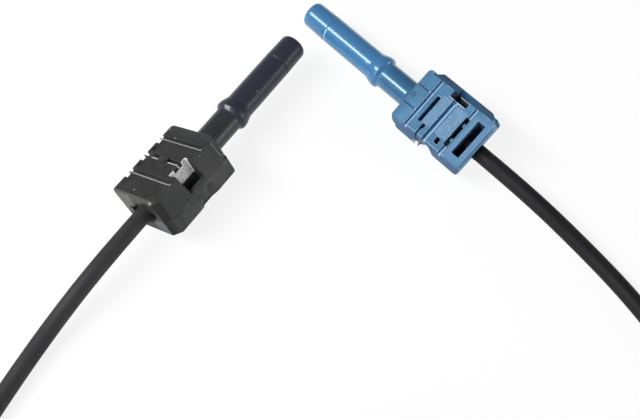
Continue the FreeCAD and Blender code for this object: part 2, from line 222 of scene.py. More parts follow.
def useEdgeHighlight(tree, nose, finish):
    edge = addNode(tree, "ShaderNodeAttribute", attribute_name="mouldedEdge").outputs["Fac"]
    inputs = {
        "Edge": edge, "Nose": nose,
        "Share": finish["edgeHighlightShare"], "Nose Share": finish["noseEdgeHighlightShare"],
    }
    return useGroup(tree, edgeHighlight, inputs)["Highlight"]


def patch(tree, vector, softness, area):
    centre = [(low + high) / 2 for low, high in area]
    half = [(high - low) / 2 for low, high in area]
    inputs = {"Vector": vector, "Centre": centre, "Half Size": half, "Softness": softness}
    return useGroup(tree, boxMask, inputs)["Mask"]


# paints each box of a finish's touches in its colour: mostly painted highlights, light and shade, and a few
# real marks
def touchUp(tree, vector, colour, touches):
    for shade, softness, area in touches.values():
        colour = mixColour(tree, patch(tree, vector, softness, area), colour, shade)
    return colour


# moulded grain as a surface direction, left out where the mask is 1
def grainNormal(tree, grain, mask, depth):
    return bump(tree, mixValue(tree, mask, grain, grainShape["middle"]), depth)


# where each connector lies, from its nose mount
# in a connector's own millimetres, x runs from the rear face to the tip, y is left and z is up

connectorPlaces = {
    "black": {"mount": "black_nose", "noseMiddle": 23.75, "roll": 26.0, "slot": "black_moulding"},
    "blue": {"mount": "blue_nose", "noseMiddle": 23.75, "roll": 27.0, "slot": "blue_moulding"},
}


def connectorTurn(place):
    mount = next(each for each in record["mounts"] if each["name"] == place["mount"])
    axis = Vector(mount["axis"])
    rear = Vector(mount["pos_m"]) - axis * place["noseMiddle"] * mm
    heading = math.atan2(axis.y, axis.x)
    turn = Matrix.Rotation(heading, 3, "Z") @ Matrix.Rotation(-math.radians(place["roll"]), 3, "X")
    return rear, turn.to_euler()


def connectorCoordinates(tree, place):
    rear, turn = connectorTurn(place)
    coordinates = tree.nodes.new("ShaderNodeTexCoord").outputs["Object"]
    inputs = {"Vector": coordinates, "Location": rear, "Rotation": turn, "Scale": (mm, mm, mm)}
    return addNode(tree, "ShaderNodeMapping", inputs, vector_type="TEXTURE").outputs["Vector"]


# black moulding: charcoal with a faint brown mottle, a bluish nose, and a bright latch wall that is whitened
# plastic with a painted reflection on it

blackFinish = {
    "dark": (0.012, 0.012, 0.012, 1), "light": (0.0215, 0.0215, 0.021, 1),
    "stain": (0.050, 0.046, 0.030, 1), "stainScale": 0.8, "stainRange": (0.62, 0.75), "stainShare": 0.5,
    "nose": (0.023, 0.026, 0.042, 1), "speck": (0.20, 0.20, 0.19, 1),
    # edge: painted highlight along the rounded edges
    "edge": (0.10, 0.10, 0.10, 1), "edgeHighlightShare": 0.5, "noseEdgeHighlightShare": 0.0,
    # latch wall: whitened plastic with a painted reflection, broken up by the grain
    "latchWall": (0.80, 0.80, 0.79, 1), "latchGrain": (0.36, 0.36, 0.36, 1), "latchGrainRange": (0.42, 0.6),
    # softness and box of an area
    "noseArea": (0.05, ((11.97, 40.0), (-3.0, 3.0), (-3.0, 3.0))),
    "latchArea": (0.02, ((4.5, 7.6), (-3.2, -2.6), (0.95, 3.3))),
    # colour, softness and box of each place painted lighter or darker than the rest: painted highlights,
    # painted light and painted shade
    "touches": {
        # groove floors: painted light that lifts the shade in the grooves
        "frontGrooveFloorPaintedLight": ((0.032, 0.032, 0.032, 1), 0.04, ((9.58, 9.90), (-3.9, 4.3), (2.5, 2.9))),
        "middleGrooveFloorPaintedLight": ((0.032, 0.032, 0.032, 1), 0.04, ((6.50, 6.82), (-3.9, 4.3), (2.5, 2.9))),
        "rearGrooveFloorPaintedLight": ((0.032, 0.032, 0.032, 1), 0.04, ((3.53, 3.85), (-3.9, 4.3), (2.5, 2.9))),
        # groove lines: painted highlights on the grooves' sloping edges
        "frontGrooveHighlight": ((0.37, 0.37, 0.36, 1), 0.05, ((9.30, 9.54), (-3.9, 4.3), (2.5, 3.06))),
        "rearGrooveHighlight": ((0.39, 0.39, 0.38, 1), 0.05, ((3.25, 3.49), (-3.9, 4.3), (2.5, 3.06))),
        "middleHighlightLeft": ((0.55, 0.55, 0.54, 1), 0.05, ((6.22, 6.46), (1.5, 2.7), (2.5, 3.06))),
        "middleHighlightRight": ((0.60, 0.60, 0.58, 1), 0.05, ((6.22, 6.46), (-2.4, -0.5), (2.5, 3.06))),
        # rear bevel: painted highlight; rear corner: painted glint
        "rearBevelHighlight": ((0.050, 0.049, 0.044, 1), 0.05, ((-0.1, 0.36), (-3.9, 4.3), (2.74, 3.2))),
        "rearCornerGlint": ((0.30, 0.30, 0.29, 1), 0.12, ((-0.1, 0.15), (-3.4, -3.1), (2.85, 3.0))),
        # rear face: painted light, lighter on the left and bluish at the lower right
        "rearFaceLeftLit": ((0.098, 0.098, 0.092, 1), 0.3, ((-0.1, 0.03), (1.2, 4.6), (-0.4, 2.74))),
        "rearFaceRightLit": ((0.070, 0.078, 0.095, 1), 0.3, ((-0.1, 0.03), (-3.2, -1.4), (-3.0, -0.7))),
        # flank: painted light, lighter towards the front, with a painted highlight along its front end
        "flankShading": ((0.029, 0.030, 0.031, 1), 0.04, ((0.9, 11.0), (-5.4, -3.92), (-3.3, 2.95))),
        "flankFrontShading": ((0.037, 0.037, 0.038, 1), 2.0, ((8.6, 12.0), (-5.4, -4.1), (-3.2, 1.0))),
        "flankEndHighlight": ((0.24, 0.24, 0.24, 1), 0.04, ((10.88, 11.0), (-4.75, -4.0), (0.7, 2.8))),
        # neck: painted light, greyer on the neck
        "neckShading": ((0.025, 0.028, 0.030, 1), 2.5, ((11.97, 15.5), (-3.0, 3.0), (-3.0, 3.0))),
        # cut corners: painted shade on the rear-right chamfers
        "lidCutCornerShade": ((0.004, 0.004, 0.004, 1), 0.05, ((0.04, 0.88), (-5.3, -3.3), (-0.5, 2.6))),
        "bodyCutCornerShade": ((0.004, 0.004, 0.004, 1), 0.05, ((0.04, 0.50), (-5.3, -3.3), (-3.2, -0.45))),
        # dimples: painted shade in the shallow dimples
        "frontDimpleShade": ((0.004, 0.004, 0.004, 1), 0.3, ((7.35, 7.95), (3.0, 3.6), (2.8, 3.2))),
        "rearDimpleShade": ((0.004, 0.004, 0.004, 1), 0.3, ((4.45, 5.05), (3.0, 3.6), (2.8, 3.2))),
        # latch hole: painted shade in the hole under the latch window
        "latchHoleShade": ((0.022, 0.022, 0.024, 1), 0.05, ((4.5, 7.6), (-3.5, -2.6), (-0.4, 0.9))),
        # collar: painted glint on the collar's shoulder
        "collarGlint": ((0.28, 0.28, 0.29, 1), 0.15, ((17.45, 17.65), (-1.0, -0.4), (1.7, 2.4))),
    },
    "roughness": (0.46, 0.62), "noseRoughness": 0.38, "shine": 0.36,
    "grainScale": 9.0, "mottleScale": 0.55, "speckScale": 0.9, "grainDepth": 0.012 * mm,
}


def makeBlackMoulding(finish):
    material, tree, shader = newMaterial("blackMoulding")
    vector = connectorCoordinates(tree, connectorPlaces["black"])
    surface = useGrain(tree, vector, finish)
    nose = patch(tree, vector, *finish["noseArea"])
    colour = mixColour(tree, surface["Mottle"], finish["dark"], finish["light"])
    stain = ramp(tree, noise(tree, vector, finish["stainScale"]), *finish["stainRange"])
    colour = mixColour(tree, calc(tree, "MULTIPLY", stain, finish["stainShare"]), colour, finish["stain"])
    colour = mixColour(tree, nose, colour, finish["nose"])
    # painted highlight along the rounded edges
    colour = mixColour(tree, useEdgeHighlight(tree, nose, finish), colour, finish["edge"])
    colour = touchUp(tree, vector, colour, finish["touches"])
    # latch wall: whitened plastic with a painted reflection
    wallGrain = ramp(tree, surface["Grain"], *finish["latchGrainRange"])
    wall = mixColour(tree, wallGrain, finish["latchGrain"], finish["latchWall"])
    colour = mixColour(tree, patch(tree, vector, *finish["latchArea"]), colour, wall)
    feed(tree, shader["Base Color"], mixColour(tree, surface["Specks"], colour, finish["speck"]))
    rough = mixValue(tree, surface["Mottle"], *finish["roughness"])
    feed(tree, shader["Roughness"], mixValue(tree, nose, rough, finish["noseRoughness"]))
    shader["Specular IOR Level"].default_value = finish["shine"]
    feed(tree, shader["Normal"], grainNormal(tree, surface["Grain"], nose, finish["grainDepth"]))
    return material


# blue moulding: satin mid blue, glossy on the nose, with painted highlights along its edges, and pale where
# the hinge film bends from stress whitening with a painted sheen and glint

blueFinish = {
    "dark": (0.026, 0.112, 0.225, 1), "light": (0.046, 0.158, 0.295, 1),
    "violet": (0.095, 0.180, 0.38, 1), "violetScale": 0.35, "violetRange": (0.5, 0.7), "violetShare": 0.5,
    "nose": (0.052, 0.168, 0.345, 1), "speck": (0.20, 0.36, 0.52, 1),
    # edge: painted highlight along the rounded edges
    "edge": (0.40, 0.58, 0.74, 1), "edgeHighlightShare": 0.8, "noseEdgeHighlightShare": 0.1,
    "engraved": (0.015, 0.05, 0.12, 1), "latchWall": (0.60, 0.56, 0.70, 1),
    "bar": (0.205, 0.32, 0.49, 1), "barGrainRange": (0.3, 0.75),
    "noseArea": (0.05, ((11.97, 40.0), (-3.0, 3.0), (-3.0, 3.0))),
    "latchArea": (0.02, ((4.7, 7.4), (-3.12, -2.88), (2.5, 3.3))),
    "engravedArea": (0.05, ((9.98, 11.93), (-3.9, 3.9), (2.8, 3.3))),
    "barAreas": (
        (0.1, ((6.65, 7.95), (-2.6, 1.7), (2.9, 3.3))),
        (0.1, ((3.9, 5.6), (-2.6, 1.8), (2.9, 3.3))),
    ),
    # colour, softness and box of each place painted lighter or darker: painted highlights, light and shade,
    # two real scores and a whitened hinge
    "touches": {
        # left side: painted shade
        "leftSideShade": ((0.034, 0.087, 0.182, 1), 0.06, ((0.2, 11.9), (3.52, 5.2), (-3.3, 3.0))),
        # rear of the top face: painted light
        "rearFrameLit": ((0.085, 0.190, 0.340, 1), 1.2, ((0.9, 2.4), (-2.6, 2.6), (2.9, 3.3))),
        # groove lines: painted highlights on the grooves' sloping edges
        "frontGrooveHighlight": ((0.27, 0.43, 0.63, 1), 0.05, ((9.28, 9.50), (-3.9, 4.3), (2.5, 3.06))),
        "middleGrooveHighlight": ((0.27, 0.43, 0.63, 1), 0.05, ((5.95, 6.17), (-3.9, 4.3), (2.5, 3.06))),
        "rearGrooveHighlight": ((0.27, 0.43, 0.63, 1), 0.05, ((3.23, 3.45), (-3.9, 4.3), (2.5, 3.06))),
        # groove floors: painted light that lifts the shade in the grooves
        "frontGrooveFloorPaintedLight": ((0.030, 0.120, 0.270, 1), 0.04, ((9.56, 9.88), (-3.9, 4.3), (2.5, 2.9))),
        "middleGrooveFloorPaintedLight": ((0.030, 0.120, 0.270, 1), 0.04, ((6.24, 6.55), (-3.9, 4.3), (2.5, 2.9))),
        "rearGrooveFloorPaintedLight": ((0.030, 0.120, 0.270, 1), 0.04, ((3.52, 3.83), (-3.9, 4.3), (2.5, 2.9))),
        # rear slot: painted shade inside the slot
        "rearSlotShade": ((0.045, 0.12, 0.21, 1), 0.05, ((3.2, 3.9), (-2.25, 2.2), (1.0, 3.02))),
        # flank: painted shade, darker and more violet towards the front
        "flankShading": ((0.026, 0.097, 0.205, 1), 0.04, ((0.5, 11.1), (-5.4, -3.92), (-3.3, 2.95))),
        "flankFrontShading": ((0.028, 0.060, 0.165, 1), 1.1, ((9.2, 12.2), (-5.6, -5.05), (-3.3, 2.5))),
        # front of the top face, left half: painted light
        "frontFaceLeftLit": ((0.062, 0.195, 0.350, 1), 0.9, ((10.6, 12.0), (1.2, 3.4), (2.9, 3.3))),
        # neck: painted shade, darker on the neck
        "neckShading": ((0.034, 0.120, 0.235, 1), 2.0, ((11.97, 16.0), (-3.0, 3.0), (-3.0, 3.0))),
        # latch hole: painted shade in the hole under the latch window
        "latchHoleShade": ((0.018, 0.030, 0.075, 1), 0.03, ((4.55, 7.5), (-3.98, -3.05), (-3.2, 2.4))),
        # rear window: painted shade inside
        "rearWindowTopShade": ((0.018, 0.020, 0.040, 1), 0.1, ((0.75, 2.5), (-2.6, 2.6), (0.5, 1.9))),
        "rearWindowFootShade": ((0.018, 0.020, 0.040, 1), 0.1, ((1.65, 2.5), (-2.6, 2.6), (-3.0, 0.5))),
        # nose ring and nose root: painted highlights
        "ringHighlight": ((0.50, 0.78, 0.88, 1), 0.04, ((27.82, 27.98), (0.5, 2.2), (-1.2, 2.2))),
        "noseRootHighlight": ((0.42, 0.66, 0.80, 1), 0.05, ((11.96, 12.10), (0.6, 2.6), (-1.2, 3.0))),
        "leftScore": ((0.015, 0.05, 0.12, 1), 0.03, ((9.98, 11.93), (1.12, 1.28), (2.8, 3.3))),
        "rightScore": ((0.015, 0.05, 0.12, 1), 0.03, ((9.98, 11.93), (-1.78, -1.62), (2.8, 3.3))),
        # hinge: stress whitening with a painted sheen, and a painted glint at its middle
        "hingeWhiteningAndSheen": ((0.20, 0.26, 0.32, 1), 0.15, ((7.2, 8.45), (3.75, 5.0), (-0.9, 0.2))),
        "hingeGlint": ((0.70, 0.75, 0.78, 1), 0.12, ((7.5, 7.8), (4.0, 4.5), (-0.7, 0.1))),
    },
    "roughness": (0.50, 0.62), "flankRoughness": 0.95, "noseRoughness": 0.25,
    "noseCoat": 0.6, "coatRoughness": 0.2, "shineTint": (0.72, 0.95, 1.0, 1),
    "grainScale": 8.0, "mottleScale": 0.45, "speckScale": 0.8, "grainDepth": 0.010 * mm,
}


def makeBlueMoulding(finish):
    material, tree, shader = newMaterial("blueMoulding")
    vector = connectorCoordinates(tree, connectorPlaces["blue"])
    surface = useGrain(tree, vector, finish)
    nose = patch(tree, vector, *finish["noseArea"])
    colour = mixColour(tree, surface["Mottle"], finish["dark"], finish["light"])
    violet = ramp(tree, noise(tree, vector, finish["violetScale"]), *finish["violetRange"])
    colour = mixColour(tree, calc(tree, "MULTIPLY", violet, finish["violetShare"]), colour, finish["violet"])
    grain = ramp(tree, surface["Grain"], *finish["barGrainRange"])
    for softness, area in finish["barAreas"]:
        bar = calc(tree, "MULTIPLY", patch(tree, vector, softness, area), grain)
        colour = mixColour(tree, bar, colour, finish["bar"])
    colour = mixColour(tree, nose, colour, finish["nose"])
    engraved = patch(tree, vector, *finish["engravedArea"])
    edgeHighlightColour = mixColour(tree, engraved, finish["edge"], finish["engraved"])
    # painted highlight along the rounded edges, dark along the scores of the front plate
    colour = mixColour(tree, useEdgeHighlight(tree, nose, finish), colour, edgeHighlightColour)
    colour = mixColour(tree, patch(tree, vector, *finish["latchArea"]), colour, finish["latchWall"])
    colour = touchUp(tree, vector, colour, finish["touches"])
    feed(tree, shader["Base Color"], mixColour(tree, surface["Specks"], colour, finish["speck"]))
    rough = mixValue(tree, surface["Mottle"], *finish["roughness"])
    # the flank's box of painted shade also gets a high roughness
    _, softness, area = finish["touches"]["flankShading"]
    rough = mixValue(tree, patch(tree, vector, softness, area), rough, finish["flankRoughness"])
    feed(tree, shader["Roughness"], mixValue(tree, nose, rough, finish["noseRoughness"]))
    shader["Specular Tint"].default_value = finish["shineTint"]
    shader["Coat Tint"].default_value = finish["shineTint"]
    feed(tree, shader["Coat Weight"], calc(tree, "MULTIPLY", nose, finish["noseCoat"]))
    shader["Coat Roughness"].default_value = finish["coatRoughness"]
    feed(tree, shader["Normal"], grainNormal(tree, surface["Grain"], nose, finish["grainDepth"]))
    return material


# cable jacket: black with a faint mottle, greyer towards the black connector

jacketFinish = {
    "dark": (0.003, 0.003, 0.004, 1), "light": (0.007, 0.007, 0.009, 1), "speck": (0.05, 0.05, 0.05, 1),
    "greyer": (0.024, 0.024, 0.026, 1), "greyerRange": (0.0, -24.0),
    "roughness": (0.58, 0.72), "shine": 0.3,
    "grainScale": 5.0, "mottleScale": 0.25, "speckScale": 0.6, "grainDepth": 0.01 * mm,
}


def makeCableJacket(finish):
    material, tree, shader = newMaterial("cableJacket")
    vector = millimetres(tree)
    surface = useGrain(tree, vector, finish)
    colour = mixColour(tree, surface["Mottle"], finish["dark"], finish["light"])
    across = addNode(tree, "ShaderNodeSeparateXYZ", {0: vector}).outputs["X"]
    colour = mixColour(tree, ramp(tree, across, *finish["greyerRange"]), colour, finish["greyer"])
    feed(tree, shader["Base Color"], mixColour(tree, surface["Specks"], colour, finish["speck"]))
    feed(tree, shader["Roughness"], mixValue(tree, surface["Mottle"], *finish["roughness"]))
    shader["Specular IOR Level"].default_value = finish["shine"]
    feed(tree, shader["Normal"], bump(tree, surface["Grain"], finish["grainDepth"]))
    return material


# bare fibre: clear, with the faint haze of a cut and polished end

fibreFinish = {
    "clear": (0.93, 0.95, 0.96, 1), "haze": (0.78, 0.83, 0.86, 1), "roughness": (0.04, 0.16),
    "hazeScale": 4.0, "hazeDetail": 3.0, "hazeRange": (0.4, 0.65),
    "clearness": 0.3, "bending": 1.49,
}


def makeFibreCore(finish):
    material, tree, shader = newMaterial("fibreCore")
    clouds = noise(tree, millimetres(tree), finish["hazeScale"], finish["hazeDetail"])
    haze = ramp(tree, clouds, *finish["hazeRange"])
    feed(tree, shader["Base Color"], mixColour(tree, haze, finish["clear"], finish["haze"]))
    feed(tree, shader["Roughness"], mixValue(tree, haze, *finish["roughness"]))
    shader["Transmission Weight"].default_value = finish["clearness"]
    shader["IOR"].default_value = finish["bending"]
    return material


# coil ties: dull black thread with a fine twist

tieFinish = {
    "dark": (0.02, 0.02, 0.022, 1), "light": (0.075, 0.075, 0.08, 1), "roughness": (0.7, 0.9),
    "twistScale": 3.2, "wander": 0.6, "wanderScale": 2.0, "twistDepth": 0.05 * mm,
}


def makeTieBand(finish):
    material, tree, shader = newMaterial("tieBand")
    waveInputs = {
        "Vector": millimetres(tree), "Scale": finish["twistScale"],
        "Distortion": finish["wander"], "Detail Scale": finish["wanderScale"],
    }
    along, across, up = [
        addNode(tree, "ShaderNodeTexWave", waveInputs, bands_direction=direction).outputs["Fac"]
        for direction in ("X", "Y", "Z")
    ]
    twist = calc(tree, "MULTIPLY", calc(tree, "MAXIMUM", along, up), across)
    feed(tree, shader["Base Color"], mixColour(tree, twist, finish["dark"], finish["light"]))
    feed(tree, shader["Roughness"], mixValue(tree, twist, *finish["roughness"]))
    feed(tree, shader["Normal"], bump(tree, twist, finish["twistDepth"]))
    return material


finishes = {
    "black_moulding": makeBlackMoulding(blackFinish),
    "blue_moulding": makeBlueMoulding(blueFinish),
    "cable_jacket": makeCableJacket(jacketFinish),
    "fibre_core": makeFibreCore(fibreFinish),
    "tie_band": makeTieBand(tieFinish),
}
print("finishes made:", len(finishes))


# moulded pieces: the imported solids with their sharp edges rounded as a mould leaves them

mouldings = {
    "edgeWidth": 0.04 * mm,
    "edgeSteps": 2,
    "softSteps": 4,
    "roundProfile": 0.5,
    "sharpAngle": 28.0,  # edges that turn more than this are rounded
    "flatAngle": 0.4,  # facets that turn less than this are one flat face
    "smoothAngle": 50.0,
    "weldDistance": 0.001 * mm,
    "endLength": 0.2 * mm,  # long edges are split here, so that a crowded corner can stay sharp
    "tries": 12,
    "clearance": 0.15 * mm,  # edges this near to a spoiled corner stay sharp
    "foldAngle": 140.0,  # faces that turn more than this have folded over
    "smallFace": 0.2 * mm * mm,
    # a face is crossed where its triangles cover more than this share of it plus these square millimetres
    "crossedShare": 1.01,
    "crossedArea": 1e-4,
    # edges inside a box of the connector's own millimetres that are rounded more, and by how much
    "softEdges": {
        "blackBody": (
            (((16.5, 20.5), (-3.0, 3.0), (-3.0, 3.0)), 0.18 * mm),
            (((1.3, 1.7), (-4.9, -4.7), (-2.7, -0.4)), 0.6 * mm),
        ),
        "blackLid": (),
        "blueBody": (
            (((16.5, 20.5), (-3.0, 3.0), (-3.0, 3.0)), 0.18 * mm),
            (((0.6, 1.3), (3.9, 4.4), (-2.4, -0.4)), 0.4 * mm),
        ),
        "blueLid": ((((-0.1, 0.8), (3.5, 4.3), (-0.5, 2.8)), 0.45 * mm),),
    },
    # skin that closes the side under the latch window: its line runs in a smooth hollow from rear to front
    "skin": {
        "rear": (4.4, -4.8), "hollow": ((5.7, -4.06), (7.0, -4.06)), "front": (8.2, -4.3), "steps": 30,
        "top": -0.52, "bend": -2.6, "foot": -3.08, "footOut": -4.3, "inner": -3.85,
        "floor": ((4.62, 7.43), (-4.06, -3.2), (-2.98, -2.8)),
    },
    "pieces": {
        "blackBody": {"node": "black_connector_body", "body": "cable_assembly", "end": "black"},
        "blackLid": {"node": "black_connector_lid", "body": "black_lid", "end": "black"},
        "blueBody": {"node": "blue_connector_body", "body": "cable_assembly", "end": "blue"},
        "blueLid": {"node": "blue_connector_lid", "body": "blue_lid", "end": "blue"},
    },
}


def turnsMore(edge, degrees):
    return len(edge.link_faces) == 2 and edge.calc_face_angle() > math.radians(degrees)


# a share from 0 to 1 that starts and stops gently
def gentle(share):
    return share * share * (3 - 2 * share)


# how far the skin stands out at x
def skinLine(x, skin):
    points = (skin["rear"], *skin["hollow"], skin["front"])
    for (x0, y0), (x1, y1) in zip(points, points[1:]):
        if x <= x1:
            return y0 + (y1 - y0) * gentle((x - x0) / (x1 - x0))
    return points[-1][1]


def closeWindow(form, place, skin):
    rear, turn = connectorTurn(place)

    def inFrame(spot):
        return rear + turn.to_matrix() @ Vector(spot) * mm

    first, last = skin["rear"][0], skin["front"][0]
    rings = []
    for step in range(skin["steps"] + 1):
        x = first + (last - first) * step / skin["steps"]
        out = skinLine(x, skin)
        outline = (
            (out, skin["top"]), (out, skin["bend"]), (max(out, skin["footOut"]), skin["foot"]),
            (skin["inner"], skin["foot"]), (skin["inner"], skin["top"]),
        )
        rings.append([form.verts.new(inFrame((x, y, z))) for y, z in outline])
    faces = [form.faces.new(rings[0]), form.faces.new(list(reversed(rings[-1])))]
    for ring, after in zip(rings, rings[1:]):
        for number in range(len(ring)):
            side = (number + 1) % len(ring)
            faces.append(form.faces.new((ring[number], after[number], after[side], ring[side])))
    bmesh.ops.recalc_face_normals(form, faces=faces)
    for corner in bmesh.ops.create_cube(form, size=1)["verts"]:
        shares = [value + 0.5 for value in corner.co]
        spot = [low + share * (high - low) for share, (low, high) in zip(shares, skin["floor"])]
        corner.co = inFrame(spot)


def softenEdges(form, place, area, width, setup):
    rear, turn = connectorTurn(place)
    toConnector = turn.to_matrix().inverted()

    def isInside(corner):
        spot = toConnector @ (corner.co - rear) / mm
        return all(low < value < high for value, (low, high) in zip(spot, area))

    sharp = [edge for edge in form.edges if turnsMore(edge, setup["sharpAngle"])]
    bmesh.ops.bevel(
        form, geom=[edge for edge in sharp if all(isInside(corner) for corner in edge.verts)],
        offset=width, offset_type="OFFSET", segments=setup["softSteps"], profile=setup["roundProfile"],
        affect="EDGES", clamp_overlap=False,
    )


# splits each long sharp edge near both of its ends
def splitEnds(form, setup):
    end = setup["endLength"]
    sharp = [edge for edge in form.edges if turnsMore(edge, setup["sharpAngle"])]
    longEdges = [edge for edge in sharp if edge.calc_length() > 3 * end]
    for edge in longEdges:
        first, last = edge.verts
        other, _ = bmesh.utils.edge_split(edge, first, end / edge.calc_length())
        rest = edge if last in edge.verts else other
        bmesh.utils.edge_split(rest, last, end / rest.calc_length())
    form.edges.index_update()


def weldedForm(name, mesh, setup):
    spec = setup["pieces"][name]
    source = cadNodes[spec["node"]].data
    corners = [vertex.co.copy() for vertex in source.vertices]
    mesh.from_pydata(corners, [], [tuple(facet.vertices) for facet in source.polygons])
    form = bmesh.new()
    form.from_mesh(mesh)
    form.faces.layers.float.new("mouldedEdge")
    bmesh.ops.remove_doubles(form, verts=form.verts, dist=setup["weldDistance"])
    flat = math.radians(setup["flatAngle"])
    bmesh.ops.dissolve_limit(form, angle_limit=flat, verts=form.verts, edges=form.edges)
    place = connectorPlaces[spec["end"]]
    for area, width in setup["softEdges"][name]:
        softenEdges(form, place, area, width, setup)
    if spec["body"] == "cable_assembly":
        closeWindow(form, place, setup["skin"])
    splitEnds(form, setup)
    return form


def isCrossed(face, setup):
    corners = [corner.co / mm for corner in face.verts]
    total = 0
    for a, b, c in tessellate_polygon([corners]):
        total += (corners[b] - corners[a]).cross(corners[c] - corners[a]).length / 2
    return total > setup["crossedShare"] * face.calc_area() / mm ** 2 + setup["crossedArea"]


# corners where the rounding folded over itself
def spoiledCorners(form, setup):
    short = 3 * setup["edgeWidth"]
    spots = []
    for face in form.faces:
        if len(face.verts) > 3 and isCrossed(face, setup):
            whole = face.calc_area() < setup["smallFace"]
            loops = [loop for loop in face.loops if whole or loop.edge.calc_length() < short]
            spots += [loop.vert.co.copy() for loop in loops]
    for edge in form.edges:
        if turnsMore(edge, setup["foldAngle"]):
            spots += [corner.co.copy() for corner in edge.verts]
    return spots


def rounded(form, sharp, setup):
    result = form.copy()
    result.edges.ensure_lookup_table()
    made = bmesh.ops.bevel(
        result, geom=[result.edges[number] for number in sharp], offset=setup["edgeWidth"],
        offset_type="OFFSET", segments=setup["edgeSteps"], profile=setup["roundProfile"],
        affect="EDGES", clamp_overlap=False, loop_slide=True,
    )
    layer = result.faces.layers.float["mouldedEdge"]
    for face in made["faces"]:
        face[layer] = 1.0
    return result


# distance from an edge's nearer end to the nearest spoiled corner
def gapTo(corners, edge):
    return min(corners.find(end.co)[2] for end in edge.verts)


# rounds every sharp edge, then again without the edges at each spoiled corner until none is left
def roundEdges(form, setup):
    form.edges.ensure_lookup_table()
    sharp = [edge.index for edge in form.edges if turnsMore(edge, setup["sharpAngle"])]
    own = {tuple(spot.freeze()) for spot in spoiledCorners(form, setup)}
    for _ in range(setup["tries"]):
        result = rounded(form, sharp, setup)
        spots = [spot for spot in spoiledCorners(result, setup) if tuple(spot.freeze()) not in own]
        if not spots:
            break
        corners = KDTree(len(spots))
        for number, spot in enumerate(spots):
            corners.insert(spot, number)
        corners.balance()
        sharp = [number for number in sharp if gapTo(corners, form.edges[number]) > setup["clearance"]]
    return result


def makeMoulding(name, setup):
    spec = setup["pieces"][name]
    mouldingSlot = connectorPlaces[spec["end"]]["slot"]
    mesh = bpy.data.meshes.new(name)
    form = weldedForm(name, mesh, setup)
    roundEdges(form, setup).to_mesh(mesh)
    mesh.polygons.foreach_set("use_smooth", [True] * len(mesh.polygons))
    mesh.set_sharp_from_angle(angle=math.radians(setup["smoothAngle"]))
    piece = bpy.data.objects.new(name, mesh)
    scene.collection.objects.link(piece)
    mesh.materials.append(finishes[mouldingSlot])
    level = piece.modifiers.new("evenNormals", "WEIGHTED_NORMAL")
    level.keep_sharp = True
    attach(piece, spec["body"])
    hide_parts(spec["node"])
    print("  ", name, len(mesh.polygons), "faces")


for pieceName in mouldings["pieces"]:
    makeMoulding(pieceName, mouldings)

for subpart in record["subparts"]:
    cadNodes[subpart["node"]].data.materials.clear()
    cadNodes[subpart["node"]].data.materials.append(finishes[subpart["material_slot"]])
print("connectors finished")


# cable, one smooth line from the black connector through the coil to the blue one

cable = {
    "diameter": 2.2 * mm,
    "length": 0.94,
    "profileSteps": 7,
    "lineSteps": 6,
    "coilCentre": (4.0, -60.5),
    "coilRadius": 11.7,
    "liftOffTable": 0.5,
    "startAngle": -90.0,
    "pointsPerTurn": 16,
    "stepAside": 4,  # points at the end of a turn that move over to the next one
    # each row of the coil from the table up: how far each turn stands out from the middle radius
    "rows": ((1.1, -1.1), (-2.2, 0.0, 2.2), (2.2, 0.0, -2.2), (-1.1, 1.1)),
    "blackRoute": (
        (-20.841, -15.513, 4.23), (-25.361, -22.114, 4.23), (-30.816, -29.288, 2.0),
        (-35.326, -37.108, 1.1), (-40.8, -48.8, 1.1), (-38.0, -61.0, 1.1),
        (-29.5, -70.0, 1.1), (-18.0, -73.3, 1.6), (-7.0, -73.3, 1.6),
    ),
    "blueRoute": (
        (21.819, -6.843, 4.26), (27.244, -12.722, 4.26), (33.789, -18.928, 2.0),
        (39.454, -25.968, 1.1), (46.154, -37.968, 1.1), (47.8, -51.5, 1.1),
        (43.5, -63.2, 2.2), (34.5, -71.0, 5.6), (24.0, -73.3, 8.2), (15.0, -73.3, 8.2),
    ),
}


def coilPoints(spec):
    steps = spec["pointsPerTurn"]
    turns = []
    for row, offsets in enumerate(spec["rows"]):
        height = spec["liftOffTable"] + (row + 0.5) * spec["diameter"] / mm
        turns += [(spec["coilRadius"] + offset, height) for offset in offsets]
    bulge = 0.75 + 0.25 * math.cos(2 * math.pi / steps)  # the line runs inside its points by this share
    points = []
    for number, (radius, height) in enumerate(turns):
        nextRadius, nextHeight = turns[min(number + 1, len(turns) - 1)]
        for step in range(steps):
            ease = gentle(max(0, step - (steps - spec["stepAside"]) + 0.5) / spec["stepAside"])
            reach = (radius + (nextRadius - radius) * ease) / bulge
            angle = math.radians(spec["startAngle"]) + 2 * math.pi * (step + 0.5) / steps
            x = spec["coilCentre"][0] + reach * math.cos(angle)
            y = spec["coilCentre"][1] + reach * math.sin(angle)
            points.append((x, y, height + (nextHeight - height) * ease))
    return points


def makeCable(spec):
    data = bpy.data.curves.new("cable", "CURVE")
    data.dimensions = "3D"
    data.bevel_depth = spec["diameter"] / 2
    data.bevel_resolution = spec["profileSteps"]
    data.resolution_u = spec["lineSteps"]
    data.use_fill_caps = True
    points = list(spec["blackRoute"]) + coilPoints(spec) + list(reversed(spec["blueRoute"]))
    spline = data.splines.new("NURBS")
    spline.points.add(len(points) - 1)
    for point, place in zip(spline.points, points):
        point.co = (*(Vector(place) * mm), 1)
    spline.order_u = 3
    spline.use_endpoint_u = True
    piece = bpy.data.objects.new("cable", data)
    scene.collection.objects.link(piece)
    return piece


cablePiece = makeCable(cable)
cablePiece.data.materials.append(finishes["cable_jacket"])
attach(cablePiece, "cable_assembly")
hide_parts("cable_black_lead", "cable_blue_lead", "cable_coil")
print("cable laid")


# ties: woven bands round the bundle of turns, long threads that pass over and under short cross threads

